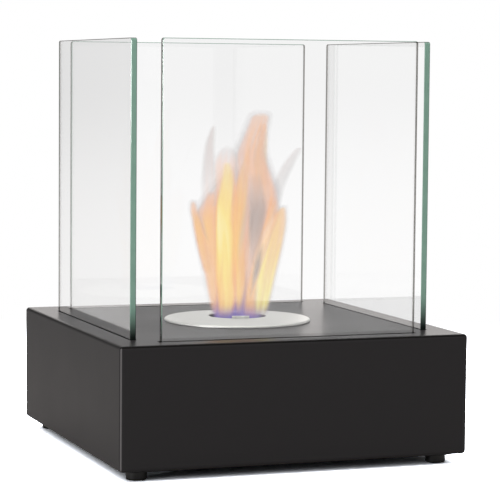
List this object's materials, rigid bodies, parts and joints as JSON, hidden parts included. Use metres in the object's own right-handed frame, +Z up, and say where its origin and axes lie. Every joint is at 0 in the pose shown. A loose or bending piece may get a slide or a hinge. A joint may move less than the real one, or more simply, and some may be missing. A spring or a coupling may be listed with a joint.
{
  "type": "bioethanol fireplace",
  "caption": "Square tabletop bioethanol fireplace: black steel base on rubber feet, glass panes standing in slots, round stainless burner in the middle.",
  "frame": {"origin": "on the surface that the fireplace stands on, under the middle of the base box", "axes": "+Z up, -Y out of the front, +X to the right seen from the front"},
  "size_m": [0.3, 0.3, 0.35],
  "materials": {
    "powder_coat": "matte black powder coat",
    "rubber": "moulded rubber",
    "zinc": "bright zinc plating",
    "silicone": "moulded silicone",
    "glass": "clear float glass, polished edges",
    "stainless": "satin stainless",
    "ceramic_fibre": "white fibre felt"
  },
  "bodies": {
    "base": {"base_shell": "powder_coat", "bottom_plate": "powder_coat", "foot_1": "rubber", "foot_2": "rubber", "foot_3": "rubber", "foot_4": "rubber", "foot_screw_1": "zinc", "foot_screw_2": "zinc", "foot_screw_3": "zinc", "foot_screw_4": "zinc", "clinch_nut_1": "zinc", "clinch_nut_2": "zinc", "clinch_nut_3": "zinc", "clinch_nut_4": "zinc", "glass_channel_front": "zinc", "glass_channel_right": "zinc", "glass_channel_back": "zinc", "glass_channel_left": "zinc", "glass_seat_front": "silicone", "glass_seat_right": "silicone", "glass_seat_back": "silicone", "glass_seat_left": "silicone"},
    "front_pane": {"glass_front": "glass"},
    "right_pane": {"glass_right": "glass"},
    "back_pane": {"glass_back": "glass"},
    "left_pane": {"glass_left": "glass"},
    "burner": {"burner_cup": "stainless", "burner_ring": "stainless", "burner_wool": "ceramic_fibre", "wool_screen": "stainless", "lift_tab": "stainless"}
  },
  "joints": [
    {"name": "front_pane_lift", "type": "slide", "parent": "base", "child": "front_pane", "axis": [0, 0, 1], "range_m": [0, 0.03]},
    {"name": "right_pane_lift", "type": "slide", "parent": "base", "child": "right_pane", "axis": [0, 0, 1], "range_m": [0, 0.03]},
    {"name": "back_pane_lift", "type": "slide", "parent": "base", "child": "back_pane", "axis": [0, 0, 1], "range_m": [0, 0.03]},
    {"name": "left_pane_lift", "type": "slide", "parent": "base", "child": "left_pane", "axis": [0, 0, 1], "range_m": [0, 0.03]},
    {"name": "burner_lift", "type": "slide", "parent": "base", "child": "burner", "axis": [0, 0, 1], "range_m": [0, 0.08]}
  ]
}
